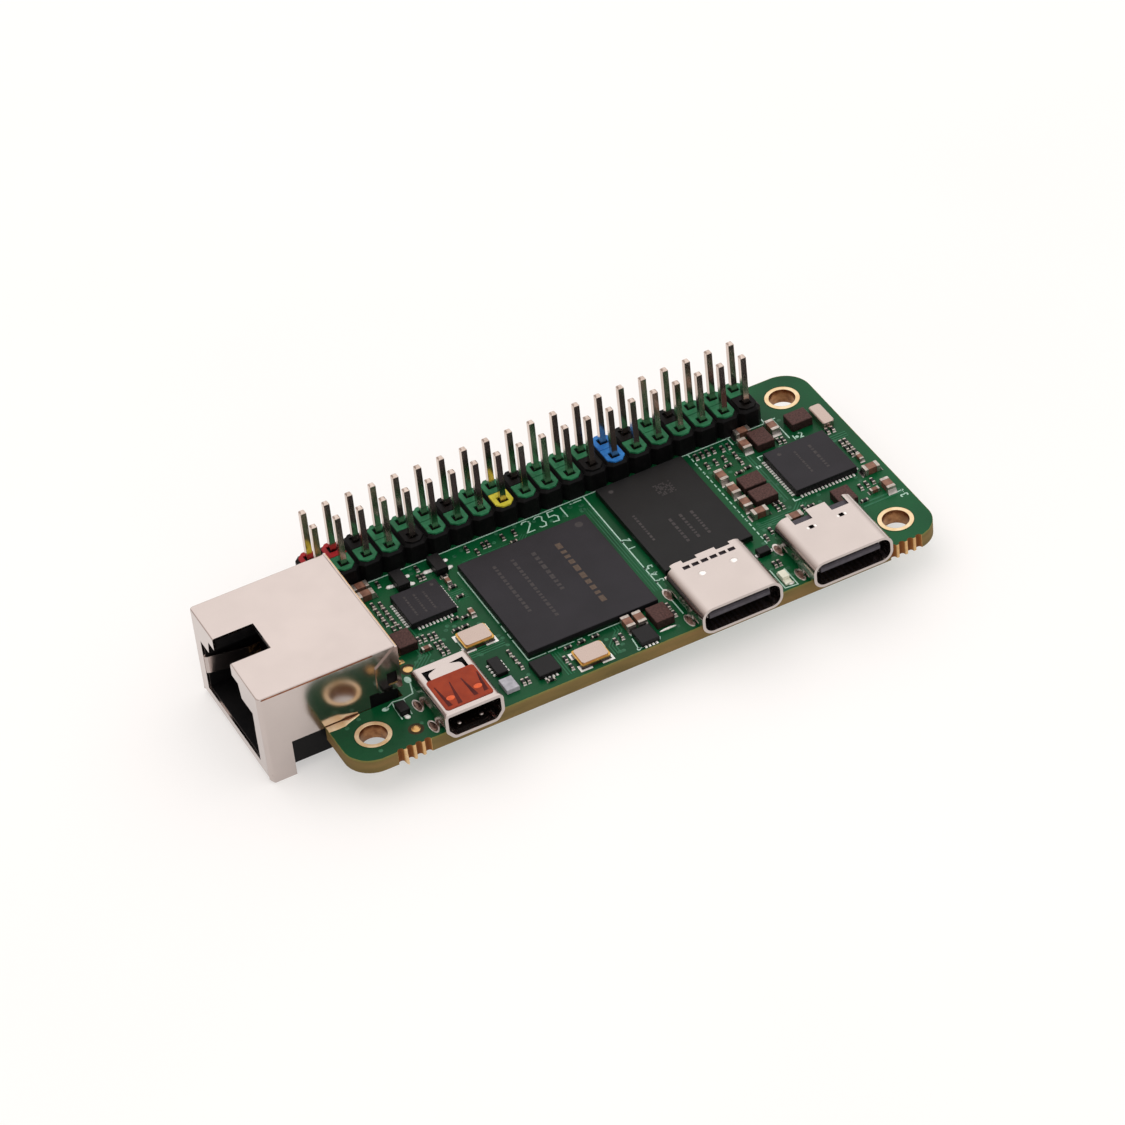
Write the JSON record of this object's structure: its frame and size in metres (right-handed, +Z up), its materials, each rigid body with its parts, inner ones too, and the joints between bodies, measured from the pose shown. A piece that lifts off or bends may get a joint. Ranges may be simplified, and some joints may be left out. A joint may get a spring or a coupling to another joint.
{
  "type": "single board computer",
  "caption": "Small green single board computer with a network socket, two reversible serial sockets, a small video socket and a colour-coded two-row pin header.",
  "frame": {"origin": "centre of the rectangle of four mounting holes, at the board's underside", "axes": "+X along the board's long side, away from the network socket; +Y towards the pin header; +Z up out of the component side"},
  "size_m": [0.0713, 0.0315, 0.0129],
  "materials": {
    "board_mask": "green solder mask over glass laminate",
    "gold_plating": "gold over nickel",
    "black_plastic": "moulded, fine grain",
    "pale_plastic": "moulded",
    "pin_plating": "thin plated",
    "solder": "bright solder",
    "tin_leads": "matt tin",
    "nickel_shell": "polished nickel",
    "spring_steel": "satin",
    "amber_tape": "translucent film",
    "green_tile": "moulded",
    "red_tile": "moulded",
    "yellow_tile": "moulded",
    "blue_tile": "moulded",
    "chip_mould": "moulded epoxy",
    "chip_laminate": "laminate edge",
    "coil_mould": "pressed iron powder",
    "ceramic_tan": "fired ceramic",
    "resistor_black": "glazed film",
    "crystal_lid": "satin",
    "pale_ceramic": "ceramic",
    "lamp_resin": "clear resin on white"
  },
  "bodies": {
    "board_assembly": {"camera_socket_body": "pale_plastic", "camera_socket_contacts": "gold_plating", "capacitor_bodies": "ceramic_tan", "capacitor_ends": "tin_leads", "card_slot_base": "black_plastic", "card_slot_contacts": "gold_plating", "card_slot_cover": "spring_steel", "card_slot_spring": "spring_steel", "chip_solder_balls": "solder", "circuit_board": "board_mask", "clock_crystal": "crystal_lid", "crystal_bases": "gold_plating", "crystal_lids": "crystal_lid", "header_body": "black_plastic", "header_pins": "pin_plating", "header_solder": "solder", "header_tiles_black": "black_plastic", "header_tiles_blue": "blue_tile", "header_tiles_green": "green_tile", "header_tiles_red": "red_tile", "header_tiles_yellow": "yellow_tile", "leadless_chip_pads": "solder", "memory_mould": "chip_mould", "memory_substrate": "chip_laminate", "mounting_rings": "gold_plating", "network_chip": "chip_mould", "network_contacts": "gold_plating", "network_ground_springs": "spring_steel", "network_housing": "black_plastic", "network_shield": "nickel_shell", "network_transformer": "chip_mould", "network_transformer_leads": "tin_leads", "power_chip": "chip_mould", "power_coil_terminals": "tin_leads", "power_coils": "coil_mould", "processor_mould": "chip_mould", "processor_substrate": "chip_laminate", "recovery_button_base": "black_plastic", "recovery_button_cover": "spring_steel", "resistor_bodies": "resistor_black", "resistor_ends": "tin_leads", "signal_filter": "pale_ceramic", "small_chip_leads": "tin_leads", "small_chips": "chip_mould", "status_lamp": "lamp_resin", "usb_left_contacts": "gold_plating", "usb_left_insulator": "black_plastic", "usb_left_shell": "nickel_shell", "usb_left_side_latches": "spring_steel", "usb_right_contacts": "gold_plating", "usb_right_insulator": "black_plastic", "usb_right_shell": "nickel_shell", "usb_right_side_latches": "spring_steel", "video_contacts": "gold_plating", "video_insulator": "black_plastic", "video_shell": "nickel_shell", "video_tape": "amber_tape"},
    "recovery_button": {"recovery_button_plunger": "pale_plastic"},
    "camera_latch": {"camera_socket_latch": "black_plastic"},
    "card_slider": {"card_slot_slider": "pale_plastic"}
  },
  "joints": [
    {"name": "recovery_button_press", "type": "slide", "parent": "board_assembly", "child": "recovery_button", "axis": [0, 0, 1], "range_m": [0, 0.00025], "stiffness_N_per_m": 1500},
    {"name": "camera_latch_flip", "type": "hinge", "parent": "board_assembly", "child": "camera_latch", "pos_m": [0.0292, 0, -0.0007], "axis": [0, -1, 0], "range_deg": [0, 90]},
    {"name": "card_slider_push", "type": "slide", "parent": "board_assembly", "child": "card_slider", "axis": [0, 1, 0], "range_m": [0, 0.0009], "stiffness_N_per_m": 300, "deforming": ["card_slot_spring"]}
  ]
}
